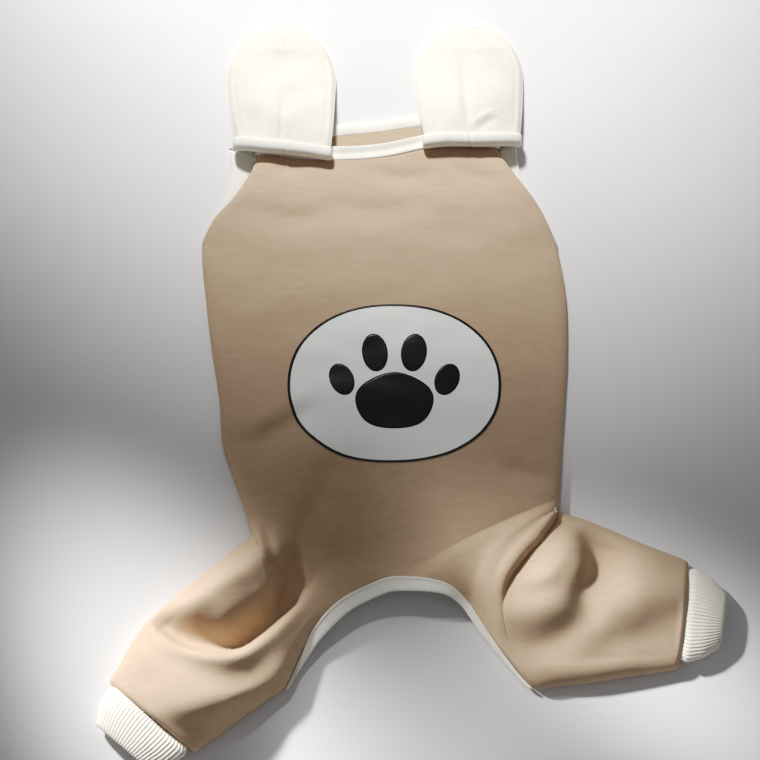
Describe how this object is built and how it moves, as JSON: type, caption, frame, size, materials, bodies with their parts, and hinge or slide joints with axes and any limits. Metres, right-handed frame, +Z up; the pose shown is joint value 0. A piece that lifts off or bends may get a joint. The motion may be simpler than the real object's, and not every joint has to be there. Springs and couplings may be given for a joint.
{
  "type": "dog jumpsuit",
  "caption": "Small dog's jumpsuit in brushed knit, laid flat back up, with two padded ears at the neck, open armholes, two hind leg sleeves and ribbed cuffs.",
  "frame": {"origin": "under the middle of the laid garment's bounding box, on the surface that it lies on", "axes": "+X to the right of the laid garment seen back up, +Y from the rear opening towards the ears, +Z up"},
  "size_m": [0.3662, 0.4646, 0.0312],
  "materials": {
    "fleece": "brushed beige sweatshirt knit, matt",
    "trim_knit": "fine cream jersey binding, matt",
    "rib_knit": "cream ribbed knit, matt",
    "ear_knit": "cream brushed knit, matt",
    "print_white": "smooth pale grey film print",
    "print_black": "smooth black film print"
  },
  "bodies": {
    "root": {"back_panel": "fleece", "belly_panel": "fleece", "leg_left": "fleece", "leg_right": "fleece", "neck_binding": "trim_knit", "rear_binding": "trim_knit", "armhole_band_left": "trim_knit", "armhole_band_right": "trim_knit", "cuff_left": "rib_knit", "cuff_right": "rib_knit", "ear_left": "ear_knit", "ear_right": "ear_knit", "ear_band_left": "trim_knit", "ear_band_right": "trim_knit"}
  },
  "joints": []
}
